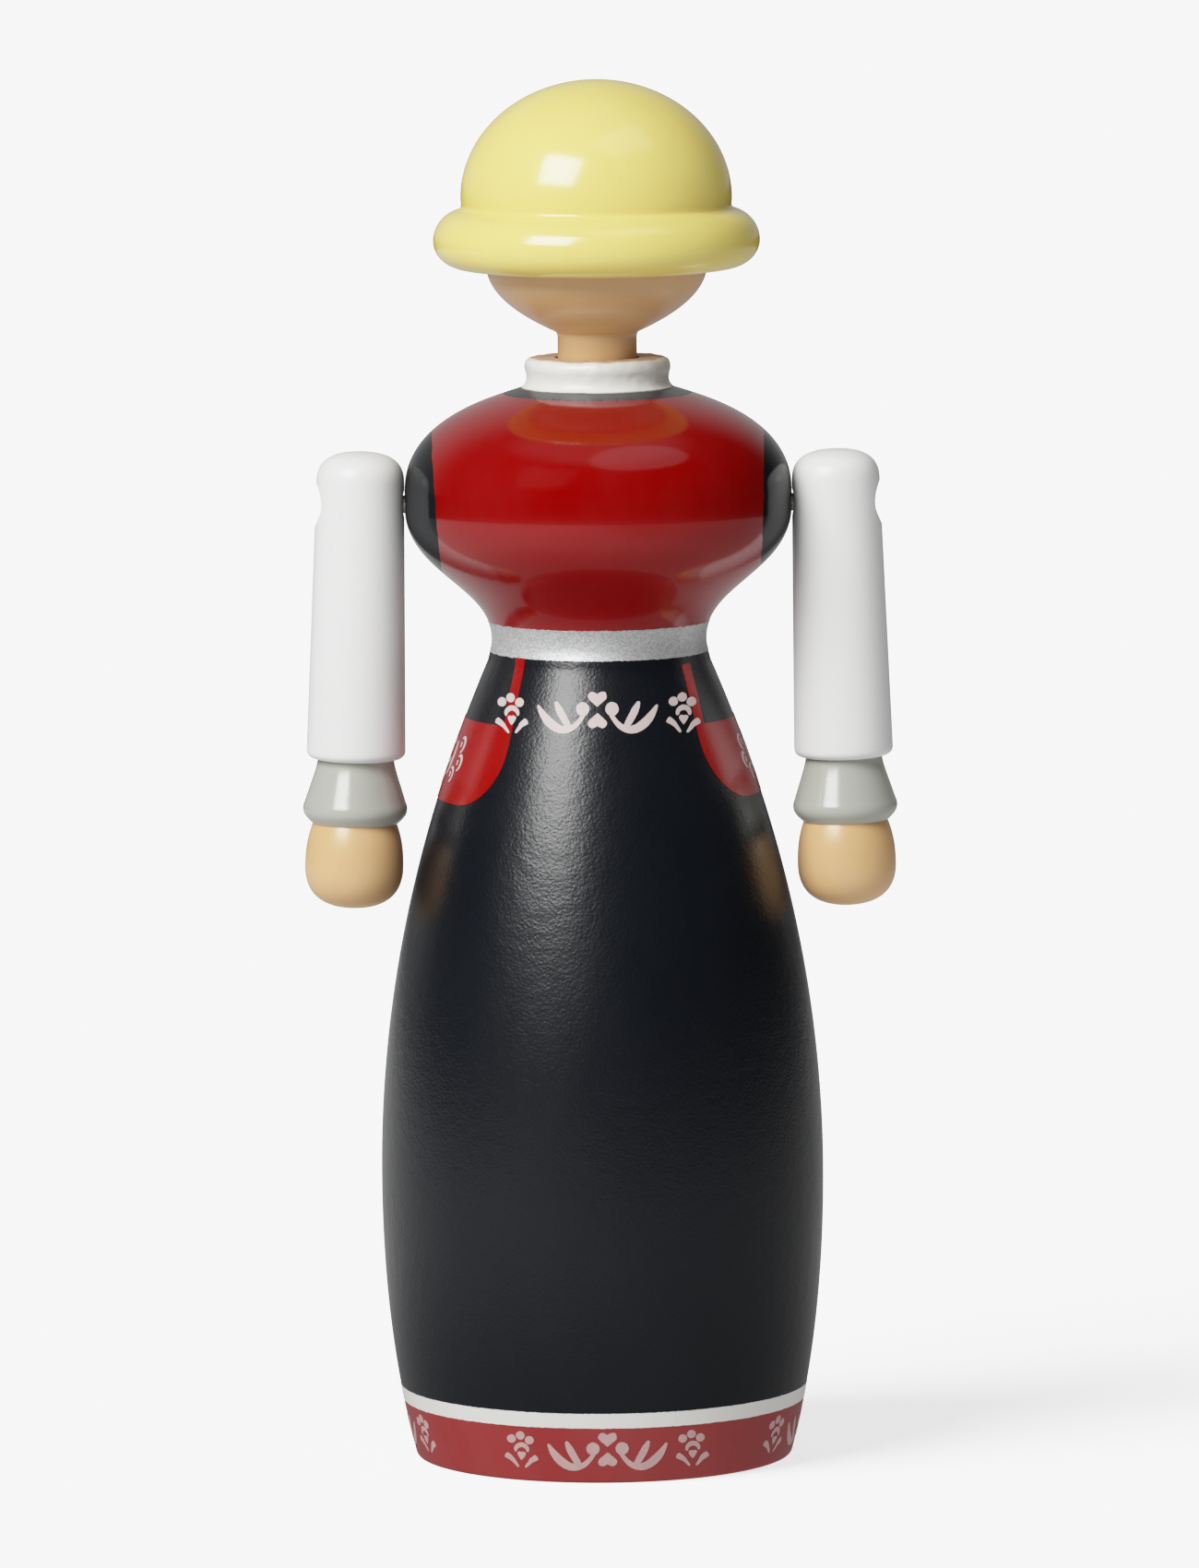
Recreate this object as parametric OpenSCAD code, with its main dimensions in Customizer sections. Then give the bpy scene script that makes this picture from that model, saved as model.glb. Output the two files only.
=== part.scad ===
// Turned wooden figure in a long skirt, with arms that swing and a head that turns.
// Millimetres, +Z up, origin at the centre of the base, front towards -Y.
// Left and right are the figure's own, so its left arm is at +X.

/* [Body] */
// Radius of the hem where it meets the base
hem_r = 27.5; // [26:0.1:29]
// Largest radius of the skirt
hip_r = 32.2; // [31:0.1:34]
// Height of the skirt's largest radius
hip_z = 40.5; // [35:0.5:48]
// Radius of the waist
waist_r = 15.6; // [14:0.1:17]
// Height of the waist
waist_z = 119.2; // [118:0.1:121]
// Largest radius of the chest
chest_r = 27.8; // [27:0.1:28]
// Height of the middle of the chest
chest_z = 139.7; // [139:0.1:141]
// Height of the flat under the collar
shoulder_z = 155.7; // [155:0.1:157]
// Radius of that flat
shoulder_r = 11.0; // [10.8:0.1:12]

/* [Collar] */
// Height of the collar ring
collar_h = 4.4; // [4:0.1:5]
// Radius of the ring's foot
collar_foot_r = 10.9; // [10.6:0.1:11]
// Radius of the ring's rounded lip
collar_lip_r = 10.6; // [10.2:0.1:11]
// Radius of the hole that the neck passes through
collar_hole_r = 6.15; // [6:0.05:6.6]

/* [Head] */
// Radius of the neck and of its tenon in the body
neck_r = 5.73; // [5.5:0.01:5.75]
// Radial clearance of the tenon in the body
neck_clearance = 0.07; // [0.03:0.01:0.1]
// Height of the tenon's lower end
tenon_z = 148.5; // [147.5:0.1:150]
// Height where the neck runs out into the face
chin_z = 162.9; // [162.5:0.1:163.5]
// Radius of the face under the hair
face_r = 15.95; // [15:0.05:17]
// Height of the hair's flat underside
hair_z = 172.4; // [172:0.1:173]
// Radius of the spigot that the hair is glued to
spigot_r = 9; // [8:0.1:10]
// Height of the spigot
spigot_h = 11.6; // [10:0.1:12]

/* [Hair] */
// Radius of the hair's dome
dome_r = 19.6; // [19:0.1:20.5]
// Height of the dome above its widest level
dome_h = 17; // [16:0.1:18]
// Overall height of the figure
total_h = 200; // [199:0.1:202]
// Radius of the round section of the rolled brim
roll_r = 4.6; // [4.2:0.1:5]
// Distance of the roll's centre from the head's axis
roll_c = 19; // [18.5:0.1:19.4]

/* [Arms] */
// Height of the shoulder axis
pivot_z = 138.9; // [138:0.1:140]
// Gap between the chest and the sleeve
arm_gap = 0.2; // [0.15:0.05:0.4]
// Outward tilt of the arm in degrees
arm_tilt = 1.4; // [1.2:0.1:2]
// Sleeve radius at the shoulder axis
sleeve_r = 6.45; // [6.3:0.05:6.6]
// Sleeve radius just above its lower edge
sleeve_end_r = 7.17; // [7:0.01:7.3]
// Height of the sleeve's rounded top above the shoulder axis
sleeve_top = 7.7; // [7.4:0.1:8]
// Distance from the shoulder axis to the sleeve's lower end
sleeve_len = 37.4; // [36:0.1:38]
// Distance from the shoulder axis to the cuff's lower end
cuff_len = 46.7; // [46:0.1:47.5]
// Distance from the shoulder axis to the fingertips
arm_len = 59.1; // [58.5:0.1:60]
// Largest radius of the cuff
cuff_r = 7.6; // [7.2:0.1:7.8]
// Largest radius of the hand
hand_r = 7.15; // [6.8:0.05:7.3]
// Radius of the dowel that joins hand, cuff and sleeve
dowel_r = 2.5; // [2:0.1:3]

/* [Cords] */
// Radius of the elastic cord through the shoulders
cord_r = 1.3; // [1:0.1:1.4]
// Radius of the cord's knots
knot_r = 2.4; // [2.2:0.1:2.6]
// Radius of the cord's hole in the chest
cord_hole_r = 2; // [1.8:0.1:2.4]
// Radius of the knot's pocket in the outside of the arm
pocket_r = 3.25; // [3:0.05:3.5]
// Depth of that pocket
pocket_depth = 7.5; // [7:0.1:8]

/* [Hidden] */
$fn = 96;
past = 1;                                    // how far a cutter runs past the face it opens
arm_x = chest_r + arm_gap + sleeve_r;        // arm's centre at the shoulder axis
knot_floor_x = arm_x + sleeve_r - pocket_depth;
knot_x = knot_floor_x + knot_r - 0.2;
well_r = 4;                                  // well that the neck cord's loop hangs in
well_z = pivot_z - 4.4;
tenon_gap = 0.5;                             // room under the neck's tenon and over the dowel
recess_r = 4;                                // recess for the knot in the top of the spigot
recess_depth = 6;
neck_cord_r = 1.1;
neck_hole_r = 1.7;
loop_r = 2.5;                                // loop of the neck cord round the shoulder cord
loop_cord_r = 1;
dome_z = total_h - dome_h;
roll_z = hair_z + roll_r;
crease_a = acos((dome_r - roll_c) / roll_r); // where the roll meets the dome

// Points 1 to n of a cubic curve with the four control points p
function curve(p, n) = [for (i = [1:n]) let (t = i / n)
    pow(1 - t, 3) * p[0] + 3 * t * pow(1 - t, 2) * p[1] + 3 * t * t * (1 - t) * p[2] + pow(t, 3) * p[3]];

// Body: skirt, waist and chest in one turning, bored for the neck and the shoulder cord
module body() {
    outline = concat(
        [[0, 0], [hem_r - 0.6, 0]],
        curve([[hem_r - 0.6, 0], [hem_r - 0.2, 0], [hem_r, 0.2], [hem_r + 0.1, 0.6]], 3),
        curve([[hem_r + 0.1, 0.6], [hem_r + 2.7, 11], [hip_r, 24], [hip_r, hip_z]], 8),
        curve([[hip_r, hip_z], [hip_r, hip_z + 40], [waist_r + 3.9, waist_z - 11.7],
               [waist_r + 0.8, waist_z - 3]], 14),
        curve([[waist_r + 0.8, waist_z - 3], [waist_r + 0.3, waist_z - 1.6],
               [waist_r, waist_z - 0.9], [waist_r, waist_z]], 4),
        curve([[waist_r, waist_z], [waist_r, waist_z + 7.5], [chest_r, chest_z - 10.3],
               [chest_r, chest_z - 1.2]], 12),
        curve([[chest_r, chest_z + 1.2], [chest_r, chest_z + 8.4], [19.5, shoulder_z - 1.5],
               [shoulder_r, shoulder_z]], 12),
        [[0, shoulder_z]]);
    color("#16191f")
    difference() {
        rotate_extrude() polygon(outline);
        translate([0, 0, tenon_z - tenon_gap])
            cylinder(r = neck_r + neck_clearance, h = shoulder_z - tenon_z + tenon_gap + past);
        translate([0, 0, well_z]) cylinder(r = well_r, h = shoulder_z - well_z);
        translate([-chest_r - past, 0, pivot_z]) rotate([0, 90, 0])
            cylinder(r = cord_hole_r, h = 2 * (chest_r + past));
    }
}

// Collar: a ring glued on top of the body
module collar() {
    top = shoulder_z + collar_h;
    outline = concat(
        [[collar_hole_r, shoulder_z], [collar_foot_r, shoulder_z]],
        curve([[collar_foot_r, shoulder_z], [collar_lip_r - 0.4, shoulder_z + 0.6],
               [collar_lip_r - 0.4, top - 2.7], [collar_lip_r - 0.1, top - 1.8]], 6),
        curve([[collar_lip_r - 0.1, top - 1.8], [collar_lip_r + 0.2, top - 0.9],
               [collar_lip_r - 0.2, top], [collar_lip_r - 1, top]], 6),
        [[collar_hole_r, top]]);
    color("#e6e4df") rotate_extrude() polygon(outline);
}

// Head: face, neck and tenon in one turning, with a spigot for the hair
module head() {
    spigot_z = hair_z + spigot_h;
    outline = concat(
        [[0, tenon_z], [neck_r - 0.4, tenon_z], [neck_r, tenon_z + 0.4], [neck_r, chin_z]],
        curve([[neck_r, chin_z], [neck_r, chin_z + 0.6], [neck_r + 0.2, chin_z + 0.9],
               [neck_r + 0.6, chin_z + 1.05]], 3),
        curve([[neck_r + 0.6, chin_z + 1.05], [face_r - 4.45, hair_z - 6.4],
               [face_r - 0.35, hair_z - 3.6], [face_r, hair_z]], 10),
        [[spigot_r, hair_z], [spigot_r, spigot_z], [0, spigot_z]]);
    color("#d9b48a")
    difference() {
        rotate_extrude() polygon(outline);
        translate([0, 0, tenon_z - past]) cylinder(r = neck_hole_r, h = spigot_z - tenon_z);
        translate([0, 0, spigot_z - recess_depth]) cylinder(r = recess_r, h = recess_depth + past);
    }
}

// Hair: a dome with a rolled brim, bored from below for the spigot
module hair() {
    outline = concat(
        [[0, hair_z]],
        [for (i = [0:14]) let (a = -90 + (90 + crease_a) * i / 14)
            [roll_c + roll_r * cos(a), roll_z + roll_r * sin(a)]],
        [for (a = [0:5:90]) [dome_r * cos(a), dome_z + dome_h * sin(a)]]);
    color("#e9e29a")
    difference() {
        rotate_extrude() polygon(outline);
        translate([0, 0, hair_z - past]) cylinder(r = spigot_r, h = spigot_h + tenon_gap + past);
    }
}

// Puts an arm piece, drawn downwards from the shoulder axis along -Z, in its place
module on_arm(side) {
    mirror([side < 0 ? 1 : 0, 0, 0])
        translate([arm_x, 0, pivot_z]) rotate([0, -arm_tilt, 0]) children();
}

// Sleeve, with the cord's hole and the knot's pocket along the shoulder axis
module sleeve(side) {
    outline = concat(
        [[0, sleeve_top]],
        curve([[0, sleeve_top], [3.6, sleeve_top], [sleeve_r - 0.3, sleeve_top - 0.9],
               [sleeve_r - 0.1, sleeve_top - 4]], 8),
        [[sleeve_end_r, 1.9 - sleeve_len]],
        curve([[sleeve_end_r, 1.9 - sleeve_len], [sleeve_end_r, 0.9 - sleeve_len],
               [sleeve_end_r - 0.7, -sleeve_len], [sleeve_end_r - 1.5, -sleeve_len]], 5),
        [[0, -sleeve_len]]);
    color("#e8e9ea")
    difference() {
        on_arm(side) difference() {
            rotate_extrude() polygon(outline);
            translate([0, 0, -sleeve_len - past])
                cylinder(r = dowel_r, h = past + 9 + tenon_gap);
        }
        mirror([side < 0 ? 1 : 0, 0, 0]) translate([0, 0, pivot_z]) rotate([0, 90, 0]) {
            translate([0, 0, chest_r]) cylinder(r = cord_hole_r, h = pocket_depth + sleeve_r);
            translate([0, 0, knot_floor_x]) cylinder(r = pocket_r, h = pocket_depth + past);
        }
    }
}

// Cuff: a flared ring threaded on the hand's dowel
module cuff(side) {
    outline = concat(
        [[dowel_r, -sleeve_len], [5.55, -sleeve_len]],
        curve([[5.55, -sleeve_len], [5.55, -sleeve_len - 1], [6.3, -sleeve_len - 2.9],
               [cuff_r - 0.3, 3.2 - cuff_len]], 6),
        curve([[cuff_r - 0.3, 3.2 - cuff_len], [cuff_r + 0.25, 1.9 - cuff_len],
               [cuff_r, 1.2 - cuff_len], [6.2, -cuff_len]], 7),
        [[dowel_r, -cuff_len]]);
    color("#bcbcb2") on_arm(side) rotate_extrude() polygon(outline);
}

// Hand, turned in one piece with the dowel that runs up into the sleeve
module hand(side) {
    outline = concat(
        [[0, 9 - sleeve_len], [dowel_r, 9 - sleeve_len], [dowel_r, -cuff_len],
         [6.1, -cuff_len]],
        curve([[6.1, -cuff_len], [hand_r - 0.3, -cuff_len - 2.1], [hand_r, 8.6 - arm_len],
               [hand_r, 6.1 - arm_len]], 7),
        curve([[hand_r, 6.1 - arm_len], [hand_r, 1.9 - arm_len], [4.6, -arm_len], [0, -arm_len]], 12));
    color("#d9b48a") on_arm(side) rotate_extrude() polygon(outline);
}

// Elastic cord from one arm to the other, knotted at both ends
module shoulder_cord() {
    color("#cfc9bc")
    union() {
        translate([-knot_x, 0, pivot_z]) rotate([0, 90, 0]) cylinder(r = cord_r, h = 2 * knot_x);
        for (side = [-1, 1]) {
            translate([side * knot_x, 0, pivot_z]) sphere(r = knot_r);
            translate([side * knot_x, 0, pivot_z]) rotate([0, side * 90, 0])
                cylinder(r = cord_r - 0.2, h = knot_r + 1.2);
        }
    }
}

// Elastic cord that holds the head down: a knot, a straight run and a loop
module neck_cord() {
    knot_z = hair_z + spigot_h - recess_depth + knot_r - 0.2;
    color("#cfc9bc")
    union() {
        translate([0, 0, pivot_z + loop_r]) cylinder(r = neck_cord_r, h = knot_z - pivot_z - loop_r);
        translate([0, 0, knot_z]) sphere(r = knot_r);
        translate([0, 0, pivot_z]) rotate([0, 90, 0])
            rotate_extrude() translate([loop_r, 0]) circle(r = loop_cord_r, $fn = 48);
    }
}

body();
collar();
head();
hair();
sleeve(1);  // sleeve_left
sleeve(-1);  // sleeve_right
cuff(1);  // cuff_left
cuff(-1);  // cuff_right
hand(1);  // hand_left
hand(-1);  // hand_right
shoulder_cord();
neck_cord();
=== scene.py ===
import bpy
import math
from mathutils import Euler, Matrix, Quaternion, Vector, noise


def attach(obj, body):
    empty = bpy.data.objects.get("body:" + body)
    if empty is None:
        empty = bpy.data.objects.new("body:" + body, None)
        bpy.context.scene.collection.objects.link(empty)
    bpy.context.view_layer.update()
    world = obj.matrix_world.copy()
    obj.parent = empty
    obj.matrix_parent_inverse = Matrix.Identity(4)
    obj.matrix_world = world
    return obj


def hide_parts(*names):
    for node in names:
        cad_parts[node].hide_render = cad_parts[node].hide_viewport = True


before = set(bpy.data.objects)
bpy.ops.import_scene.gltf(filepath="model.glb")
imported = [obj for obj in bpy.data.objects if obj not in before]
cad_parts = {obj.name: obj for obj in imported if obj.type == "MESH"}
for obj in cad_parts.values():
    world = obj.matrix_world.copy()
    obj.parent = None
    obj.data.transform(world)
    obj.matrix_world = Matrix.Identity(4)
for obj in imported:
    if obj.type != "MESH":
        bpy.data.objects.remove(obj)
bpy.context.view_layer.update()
mm = 0.001
fullTurn = 2 * math.pi
print("frame loaded with", len(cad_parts), "nodes")


# Camera, long lens and slightly above the doll
cameraPlan = {"side": -0.00008, "distance": 1.7964, "height": 0.312, "pitch": 6.794, "roll": -0.38,
              "lens": 286.5, "sensor": 36, "farClip": 50}


def placeCamera(plan):
    bpy.ops.object.camera_add(location=(plan["side"], -plan["distance"], plan["height"]))
    camera = bpy.context.object
    level = Euler((math.radians(90 - plan["pitch"]), 0, 0)).to_quaternion()
    camera.rotation_mode = "QUATERNION"
    camera.rotation_quaternion = level @ Quaternion((0, 0, 1), math.radians(plan["roll"]))
    camera.data.lens = plan["lens"]
    camera.data.sensor_width = plan["sensor"]
    camera.data.clip_end = plan["farClip"]
    bpy.context.scene.camera = camera


placeCamera(cameraPlan)
print("camera placed")


# Selecting, joining and closing pieces
def deselectAll():
    if bpy.context.object and bpy.context.object.mode != "OBJECT":
        bpy.ops.object.mode_set(mode="OBJECT")
    bpy.ops.object.select_all(action="DESELECT")


def pick(piece):
    deselectAll()
    piece.select_set(True)
    bpy.context.view_layer.objects.active = piece


def joinPieces(pieces, name):
    deselectAll()
    for piece in pieces:
        piece.select_set(True)
    bpy.context.view_layer.objects.active = pieces[0]
    if len(pieces) > 1:
        bpy.ops.object.join()
    pieces[0].name = name
    return pieces[0]


# Merges points closer than the gap and turns every face of a closed shape outwards
def closeMesh(piece, gap=0.0):
    pick(piece)
    bpy.ops.object.mode_set(mode="EDIT")
    bpy.ops.mesh.select_all(action="SELECT")
    if gap:
        bpy.ops.mesh.remove_doubles(threshold=gap)
    bpy.ops.mesh.normals_make_consistent(inside=False)
    bpy.ops.object.mode_set(mode="OBJECT")


def newGrid(columns, rows):
    deselectAll()
    bpy.ops.mesh.primitive_grid_add(x_subdivisions=columns, y_subdivisions=rows, size=1)
    return bpy.context.object


def newDisc(points, radius):
    deselectAll()
    bpy.ops.mesh.primitive_circle_add(vertices=points, radius=radius, fill_type="TRIFAN",
                                      rotation=(math.pi / 2, 0, 0))
    bpy.ops.object.transform_apply(rotation=True)
    return bpy.context.object


# Cloudy unevenness, with its size and strength in millimetres
def addClouds(piece, name, size, strength, level):
    cloud = bpy.data.textures.new(name, "CLOUDS")
    cloud.noise_scale = size * mm
    cloud.noise_depth = 2
    uneven = piece.modifiers.new("uneven", "DISPLACE")
    uneven.texture = cloud
    uneven.texture_coords = "LOCAL"
    uneven.strength = strength * mm
    uneven.mid_level = level
    return uneven


# Carries an outline on from its last point, along a curve with two handles
def addCurve(outline, pull, push, end, count):
    corners = (outline[-1], pull, push, end)
    for i in range(1, count + 1):
        t = i / count
        weights = ((1 - t) ** 3, 3 * t * (1 - t) ** 2, 3 * t * t * (1 - t), t ** 3)
        outline.append(tuple(sum(w * p[k] for w, p in zip(weights, corners)) for k in (0, 1)))


# Turns an outline of (radius, height) pairs round the upright axis
def turnPiece(name, outline, steps):
    deselectAll()
    bpy.ops.mesh.primitive_plane_add(size=mm)
    piece = bpy.context.object
    piece.name = name
    bpy.ops.object.mode_set(mode="EDIT")
    bpy.ops.mesh.select_all(action="SELECT")
    bpy.ops.mesh.merge(type="CENTER")
    bpy.ops.transform.translate(value=(outline[0][0] * mm, 0, outline[0][1] * mm))
    for here, there in zip(outline, outline[1:]):
        step = ((there[0] - here[0]) * mm, 0, (there[1] - here[1]) * mm)
        bpy.ops.mesh.extrude_region_move(TRANSFORM_OT_translate={"value": step})
    bpy.ops.mesh.select_all(action="SELECT")
    bpy.ops.mesh.spin(steps=steps, angle=fullTurn, center=(0, 0, 0), axis=(0, 0, 1))
    closeMesh(piece, mm / 500)
    return piece


# Open shapes on the body are flipped where they face its axis
def faceOutward(piece):
    pick(piece)
    for face in piece.data.polygons:
        out = Vector((face.center.x, face.center.y, 0))
        face.select = face.normal.dot(out) < 0
    if any(face.select for face in piece.data.polygons):
        bpy.ops.object.mode_set(mode="EDIT")
        bpy.ops.mesh.select_mode(type="FACE")
        bpy.ops.mesh.flip_normals()
        bpy.ops.object.mode_set(mode="OBJECT")


def applyModifiers(piece):
    pick(piece)
    for modifier in list(piece.modifiers):
        bpy.ops.object.modifier_apply(modifier=modifier.name)


def finishPiece(piece, finish, body, nodes=(), angle=35):
    pick(piece)
    bpy.ops.object.shade_smooth_by_angle(angle=math.radians(angle))
    if not piece.data.materials:
        piece.data.materials.append(finishes[finish])
    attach(piece, body)
    if nodes:
        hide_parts(*nodes)
    return piece


# Shader node groups, each one an effect that finishes share; sizes go in as millimetres
floatSocket = "NodeSocketFloat"


def newGroup(name, inputs, outputs):
    tree = bpy.data.node_groups.new(name, "ShaderNodeTree")
    for label, kind, value in inputs:
        socket = tree.interface.new_socket(name=label, in_out="INPUT", socket_type=kind)
        socket.default_value = value
    for label, kind in outputs:
        tree.interface.new_socket(name=label, in_out="OUTPUT", socket_type=kind)
    return tree, tree.nodes.new("NodeGroupInput"), tree.nodes.new("NodeGroupOutput")


# A value is either a socket to link or a constant
def feed(tree, sockets, values):
    for socket, value in zip(sockets, values):
        if isinstance(value, bpy.types.NodeSocket):
            tree.links.new(value, socket)
        elif value is not None:
            socket.default_value = value


def mathNode(tree, operation, first, second=None, third=None, clamp=False):
    node = tree.nodes.new("ShaderNodeMath")
    node.operation = operation
    node.use_clamp = clamp
    feed(tree, node.inputs, (first, second, third))
    return node.outputs[0]


def vectorNode(tree, operation, first, second=None, third=None):
    node = tree.nodes.new("ShaderNodeVectorMath")
    node.operation = operation
    feed(tree, node.inputs, (first, second, third))
    return node.outputs["Value" if operation == "LENGTH" else "Vector"]


def mixNode(tree, kind, factor, first, second):
    node = tree.nodes.new("ShaderNodeMix")
    node.data_type = kind
    feed(tree, [node.inputs[label] for label in ("Factor", "A", "B")], (factor, first, second))
    return node.outputs["Result"]


def objectPlace(tree, scale=None):
    place = tree.nodes.new("ShaderNodeTexCoord").outputs["Object"]
    if scale is None:
        return place
    mapping = tree.nodes.new("ShaderNodeMapping")
    mapping.inputs["Scale"].default_value = scale
    tree.links.new(place, mapping.inputs["Vector"])
    return mapping.outputs[0]


def sizedNoise(tree, size, stretch=(1, 1, 1), detail=2.0, rough=0.5):
    noiseNode = tree.nodes.new("ShaderNodeTexNoise")
    noiseNode.inputs["Detail"].default_value = detail
    noiseNode.inputs["Roughness"].default_value = rough
    tree.links.new(objectPlace(tree, stretch), noiseNode.inputs["Vector"])
    tree.links.new(mathNode(tree, "DIVIDE", 1 / mm, size), noiseNode.inputs["Scale"])
    return noiseNode.outputs[0]


# Cells of one size, as the distance from their middles and a random number for each
def cellNodes(tree, size):
    cells = tree.nodes.new("ShaderNodeTexVoronoi")
    tree.links.new(objectPlace(tree), cells.inputs["Vector"])
    tree.links.new(mathNode(tree, "DIVIDE", 1 / mm, size), cells.inputs["Scale"])
    split = tree.nodes.new("ShaderNodeSeparateColor")
    tree.links.new(cells.outputs["Color"], split.inputs[0])
    return cells.outputs["Distance"], split.outputs[0]


def peelGroup():
    tree, given, made = newGroup("orangePeel", [("Size", floatSocket, 0.6)], [("Height", floatSocket)])
    fine = sizedNoise(tree, given.outputs["Size"], detail=1.0)
    wide = sizedNoise(tree, mathNode(tree, "MULTIPLY", given.outputs["Size"], 4.3), detail=0.0)
    tree.links.new(mathNode(tree, "MULTIPLY_ADD", wide, 0.8, fine), made.inputs["Height"])
    return tree


def grainGroup():
    tree, given, made = newGroup("grainUnderPaint", [("Across", floatSocket, 0.5)], [("Height", floatSocket)])
    lines = sizedNoise(tree, given.outputs["Across"], (1, 1, 0.07), 3.0, 0.62)
    patches = sizedNoise(tree, mathNode(tree, "MULTIPLY", given.outputs["Across"], 9), (1, 1, 0.45), 1.0)
    strong = mathNode(tree, "SMOOTH_MIN", mathNode(tree, "MULTIPLY", patches, 1.7), 1.0, 0.3)
    tree.links.new(mathNode(tree, "MULTIPLY", lines, strong), made.inputs["Height"])
    return tree


def specksGroup():
    inputs = [("Spacing", floatSocket, 9.0), ("Radius", floatSocket, 0.1)]
    tree, given, made = newGroup("pinSpecks", inputs, [("Mask", floatSocket)])
    distance, chance = cellNodes(tree, given.outputs["Spacing"])
    far = mathNode(tree, "MULTIPLY", distance, given.outputs["Spacing"])
    soft = mathNode(tree, "SUBTRACT", 1.0, mathNode(tree, "DIVIDE", far, given.outputs["Radius"]), clamp=True)
    some = mathNode(tree, "GREATER_THAN", chance, 0.45)
    tree.links.new(mathNode(tree, "MULTIPLY", mathNode(tree, "POWER", soft, 0.6), some), made.inputs["Mask"])
    return tree


def driftGroup():
    inputs = [("Colour", "NodeSocketColor", (0.5, 0.5, 0.5, 1)), ("Amount", floatSocket, 0.1),
              ("Size", floatSocket, 12.0)]
    tree, given, made = newGroup("colourDrift", inputs, [("Colour", "NodeSocketColor")])
    cloud = sizedNoise(tree, given.outputs["Size"], (1, 1, 0.6), 3.0, 0.6)
    swing = mathNode(tree, "MULTIPLY", mathNode(tree, "SUBTRACT", cloud, 0.5), given.outputs["Amount"])
    shade = tree.nodes.new("ShaderNodeHueSaturation")
    tree.links.new(given.outputs["Colour"], shade.inputs["Color"])
    for label, strength in (("Value", 2.0), ("Saturation", -1.2)):
        tree.links.new(mathNode(tree, "MULTIPLY_ADD", swing, strength, 1.0), shade.inputs[label])
    tree.links.new(shade.outputs[0], made.inputs["Colour"])
    return tree


def handledGroup():
    inputs = [("Roughness", floatSocket, 0.3), ("Spread", floatSocket, 0.1), ("Size", floatSocket, 6.0)]
    tree, given, made = newGroup("handledGloss", inputs, [("Roughness", floatSocket)])
    smears = sizedNoise(tree, given.outputs["Size"], (1, 1, 0.35), 4.0, 0.65)
    swing = mathNode(tree, "MULTIPLY", mathNode(tree, "SUBTRACT", smears, 0.5), given.outputs["Spread"])
    feed(tree, made.inputs, (mathNode(tree, "ADD", given.outputs["Roughness"], swing, clamp=True),))
    return tree


def latheGroup():
    tree, given, made = newGroup("latheMarks", [("Pitch", floatSocket, 0.5)], [("Height", floatSocket)])
    rings = sizedNoise(tree, given.outputs["Pitch"], (0.02, 0.02, 1), 2.0)
    tree.links.new(rings, made.inputs["Height"])
    return tree


def flakeGroup():
    outputs = [("Mask", floatSocket), ("Height", floatSocket)]
    tree, given, made = newGroup("metalFlake", [("Size", floatSocket, 0.25)], outputs)
    distance, chance = cellNodes(tree, given.outputs["Size"])
    feed(tree, made.inputs, (chance, distance))
    return tree


def beechGroup():
    outputs = [("Rings", floatSocket), ("Flecks", floatSocket)]
    tree, given, made = newGroup("beechFigure", [("Ring Width", floatSocket, 2.2)], outputs)
    bend, heart = (9, 7, 0), (38, 21, 0)
    place = objectPlace(tree, (1 / mm, 1 / mm, 0.04 / mm))
    bent = vectorNode(tree, "MULTIPLY_ADD", sizedNoise(tree, 30.0), bend, place)
    far = vectorNode(tree, "LENGTH", vectorNode(tree, "ADD", bent, heart))
    turns = mathNode(tree, "FRACT", mathNode(tree, "DIVIDE", far, given.outputs["Ring Width"]))
    tree.links.new(mathNode(tree, "POWER", turns, 2.5), made.inputs["Rings"])
    dots = sizedNoise(tree, 0.35, (1, 1, 0.12), 2.0)
    tree.links.new(mathNode(tree, "GREATER_THAN", dots, 0.62), made.inputs["Flecks"])
    return tree


effects = {"peel": peelGroup(), "grain": grainGroup(), "specks": specksGroup(), "drift": driftGroup(),
           "handled": handledGroup(), "lathe": latheGroup(), "flake": flakeGroup(), "beech": beechGroup()}


def addEffect(tree, name, values):
    node = tree.nodes.new("ShaderNodeGroup")
    node.node_tree = effects[name]
    for label, value in values.items():
        node.inputs[label].default_value = value
    return node


def newFinish(name):
    finish = bpy.data.materials.new(name)
    finish.use_nodes = True
    tree = finish.node_tree
    return finish, tree, tree.nodes["Principled BSDF"]


# Heights come as pairs of a socket and its height in microns
def addRelief(tree, shader, heights):
    total = 0.0
    for socket, microns in heights:
        total = mathNode(tree, "MULTIPLY_ADD", socket, microns, total)
    bump = tree.nodes.new("ShaderNodeBump")
    bump.inputs["Strength"].default_value = 1
    bump.inputs["Distance"].default_value = mm / 1000
    tree.links.new(total, bump.inputs["Height"])
    tree.links.new(bump.outputs[0], shader.inputs["Normal"])


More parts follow.
